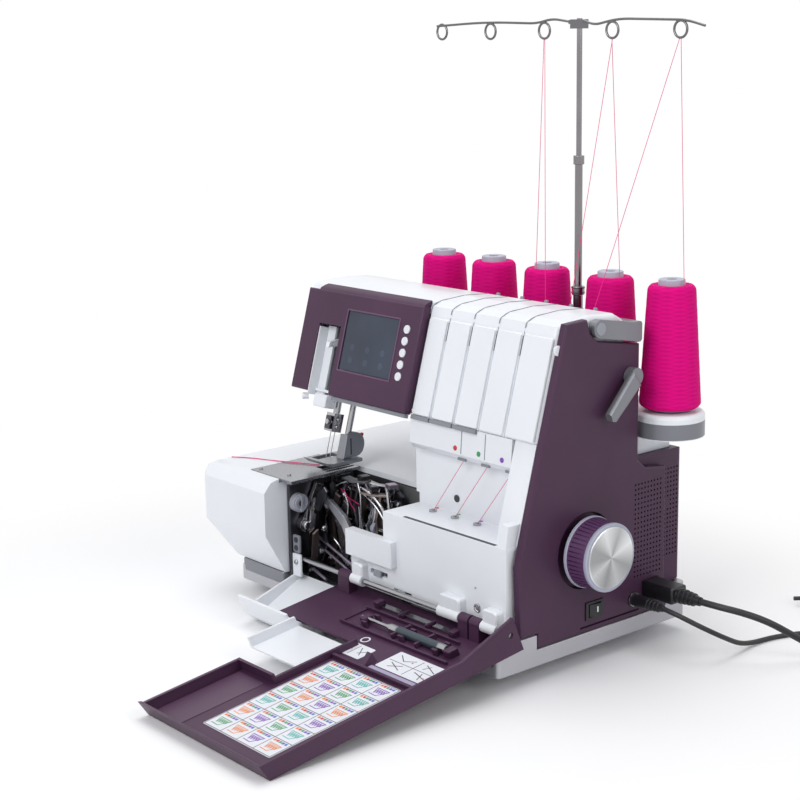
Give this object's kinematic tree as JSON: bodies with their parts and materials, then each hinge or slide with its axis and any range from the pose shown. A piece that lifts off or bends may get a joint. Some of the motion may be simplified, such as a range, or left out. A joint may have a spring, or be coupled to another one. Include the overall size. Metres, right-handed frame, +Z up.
{
  "type": "overlock sewing machine",
  "caption": "Overlock sewing machine with open front door, touch screen, hand wheel, telescopic thread stand, cones and leads.",
  "frame": {"origin": "bottom centre of the machine's box with its door open, leads left out", "axes": "+X to the operator's right, +Y to the back, +Z up"},
  "size_m": [0.6534, 0.6631, 0.5504],
  "materials": {
    "plum_plastic": "satin",
    "white_plastic": "satin",
    "silver_paint": "satin",
    "foot_rubber": "matte",
    "frame_casting": "cast",
    "steel": "polished",
    "dark_steel": "dark",
    "chrome_wire": "polished",
    "cap_metal": "spun",
    "thread_pink": "wound",
    "core_grey": "satin",
    "screen_glass": "gloss",
    "grey_plastic": "satin",
    "black_plastic": "satin",
    "black_cord": "matte",
    "board_green": "satin",
    "motor_steel": "painted"
  },
  "bodies": {
    "machine": {"right_cover": "plum_plastic", "rear_cover": "plum_plastic", "head_fascia": "plum_plastic", "front_panel": "white_plastic", "head_shell": "white_plastic", "tower_cover": "white_plastic", "bed_cover": "white_plastic", "spool_tray": "white_plastic", "base_tray": "silver_paint", "feet": "foot_rubber", "inner_frame": "frame_casting", "stitch_plate": "steel", "shaft_bearings": "steel", "mast_tube": "steel", "hinge_rod": "steel", "threading_tubes": "steel", "looper_bracket": "dark_steel", "thread_cones": "thread_pink", "cone_cores": "core_grey", "touch_screen": "screen_glass", "side_sockets": "black_plastic", "mains_plugs": "black_plastic", "foot_plugs": "black_plastic", "mains_cord": "black_cord", "mains_coil": "black_cord", "foot_cord": "black_cord", "foot_coil": "black_cord", "drive_belt": "black_cord", "circuit_board": "board_green", "drive_motor": "motor_steel"},
    "hand_wheel": {"hand_wheel": "plum_plastic", "wheel_cap": "cap_metal", "main_shaft": "steel"},
    "motor_pulley": {"motor_pulley": "grey_plastic"},
    "needle": {"needle_bar": "steel", "needle_clamp": "dark_steel"},
    "take_up_lever": {"take_up_lever": "white_plastic"},
    "presser": {"presser_bar": "steel", "presser_foot": "grey_plastic"},
    "lifter_lever": {"lifter_lever": "silver_paint"},
    "carry_handle": {"carry_handle": "silver_paint"},
    "upper_looper": {"upper_looper": "steel"},
    "lower_looper": {"lower_looper": "steel"},
    "upper_knife": {"upper_knife": "steel"},
    "feed_dogs": {"feed_dogs": "steel"},
    "width_dial": {"width_dial": "grey_plastic"},
    "stitch_slider": {"stitch_slider": "grey_plastic"},
    "finger_slider": {"finger_slider": "grey_plastic"},
    "button_1": {"button_1": "grey_plastic"},
    "button_2": {"button_2": "grey_plastic"},
    "button_3": {"button_3": "grey_plastic"},
    "button_4": {"button_4": "grey_plastic"},
    "button_5": {"button_5": "grey_plastic"},
    "rocker": {"rocker": "black_plastic"},
    "mast_middle": {"mast_middle": "steel"},
    "mast_head": {"mast_top": "steel", "guide_bar": "chrome_wire"},
    "door": {"front_door": "plum_plastic", "looper_cover": "white_plastic", "door_tools": "steel"}
  },
  "joints": [
    {"name": "hand_wheel_spin", "type": "hinge", "parent": "machine", "child": "hand_wheel", "pos_m": [0.18186, 0.10757, 0.104], "axis": [1, 0, 0], "continuous": true},
    {"name": "motor_pulley_spin", "type": "hinge", "parent": "machine", "child": "motor_pulley", "pos_m": [0.16186, 0.19307, 0.089], "axis": [1, 0, 0], "continuous": true},
    {"name": "needle_stroke", "type": "slide", "parent": "machine", "child": "needle", "axis": [0, 0.2723, 0.9622], "range_m": [-0.022, 0]},
    {"name": "take_up_swing", "type": "hinge", "parent": "machine", "child": "take_up_lever", "pos_m": [-0.11114, 0.13307, 0.246], "axis": [1, 0, 0], "range_deg": [0, 14]},
    {"name": "upper_looper_swing", "type": "hinge", "parent": "machine", "child": "upper_looper", "pos_m": [-0.04014, 0.03607, 0.064], "axis": [0, 1, 0], "range_deg": [0, 12]},
    {"name": "lower_looper_swing", "type": "hinge", "parent": "machine", "child": "lower_looper", "pos_m": [-0.06814, 0.04607, 0.056], "axis": [0, 1, 0], "range_deg": [0, 14]},
    {"name": "upper_knife_swing", "type": "hinge", "parent": "machine", "child": "upper_knife", "pos_m": [-0.10614, 0.02307, 0.082], "axis": [1, 0, 0], "range_deg": [-10, 0]},
    {"name": "feed_stroke", "type": "slide", "parent": "machine", "child": "feed_dogs", "axis": [0, 1, 0], "range_m": [-0.003, 0]},
    {"name": "lifter_turn", "type": "hinge", "parent": "machine", "child": "lifter_lever", "pos_m": [0.18786, 0.16007, 0.2495], "axis": [1, 0, 0], "range_deg": [0, 35]},
    {"name": "presser_travel", "type": "slide", "parent": "machine", "child": "presser", "axis": [0, 0.2723, 0.9622], "range_m": [-0.006, 0]},
    {"name": "handle_lift", "type": "hinge", "parent": "machine", "child": "carry_handle", "pos_m": [0.00686, 0.12207, 0.295], "axis": [1, 0, 0], "range_deg": [0, 90]},
    {"name": "door_close", "type": "hinge", "parent": "machine", "child": "door", "pos_m": [0.04186, 0.01507, 0.051], "axis": [1, 0, 0], "range_deg": [-112, 0]},
    {"name": "mast_lower_slide", "type": "slide", "parent": "machine", "child": "mast_middle", "axis": [0, 0, 1], "range_m": [-0.08, 0]},
    {"name": "mast_upper_slide", "type": "slide", "parent": "mast_middle", "child": "mast_head", "axis": [0, 0, 1], "range_m": [-0.105, 0]},
    {"name": "button_1_press", "type": "slide", "parent": "machine", "child": "button_1", "axis": [0, 0.9622, -0.2723], "range_m": [0, 0.001], "stiffness_N_per_m": 300},
    {"name": "button_2_press", "type": "slide", "parent": "machine", "child": "button_2", "axis": [0, 0.9622, -0.2723], "range_m": [0, 0.001], "stiffness_N_per_m": 300},
    {"name": "button_3_press", "type": "slide", "parent": "machine", "child": "button_3", "axis": [0, 0.9622, -0.2723], "range_m": [0, 0.001], "stiffness_N_per_m": 300},
    {"name": "button_4_press", "type": "slide", "parent": "machine", "child": "button_4", "axis": [0, 0.9622, -0.2723], "range_m": [0, 0.001], "stiffness_N_per_m": 300},
    {"name": "button_5_press", "type": "slide", "parent": "machine", "child": "button_5", "axis": [0, 0.9622, -0.2723], "range_m": [0, 0.001], "stiffness_N_per_m": 300},
    {"name": "rocker_tilt", "type": "hinge", "parent": "machine", "child": "rocker", "pos_m": [0.17986, 0.11827, 0.04825], "axis": [0, 0, 1], "range_deg": [0, 14]},
    {"name": "width_dial_turn", "type": "hinge", "parent": "machine", "child": "width_dial", "pos_m": [-0.10614, 0.01707, 0.105], "axis": [1, 0, 0], "range_deg": [0, 270]},
    {"name": "stitch_slider_travel", "type": "slide", "parent": "machine", "child": "stitch_slider", "axis": [1, 0, 0], "range_m": [-0.008, 0.008]},
    {"name": "finger_slider_travel", "type": "slide", "parent": "machine", "child": "finger_slider", "axis": [1, 0, 0], "range_m": [-0.008, 0.008]}
  ],
  "couplings": [
    {"joint": "motor_pulley_spin", "follows": "hand_wheel_spin", "ratio": 1.5556},
    {"joint": "take_up_swing", "follows": "needle_stroke", "rad_per_m": -11.1},
    {"joint": "upper_looper_swing", "follows": "needle_stroke", "rad_per_m": -9.5},
    {"joint": "lower_looper_swing", "follows": "needle_stroke", "rad_per_m": -11.1},
    {"joint": "upper_knife_swing", "follows": "needle_stroke", "rad_per_m": 7.9},
    {"joint": "feed_stroke", "follows": "needle_stroke", "ratio": 0.13},
    {"joint": "lifter_turn", "follows": "presser_travel", "rad_per_m": -101.8}
  ]
}
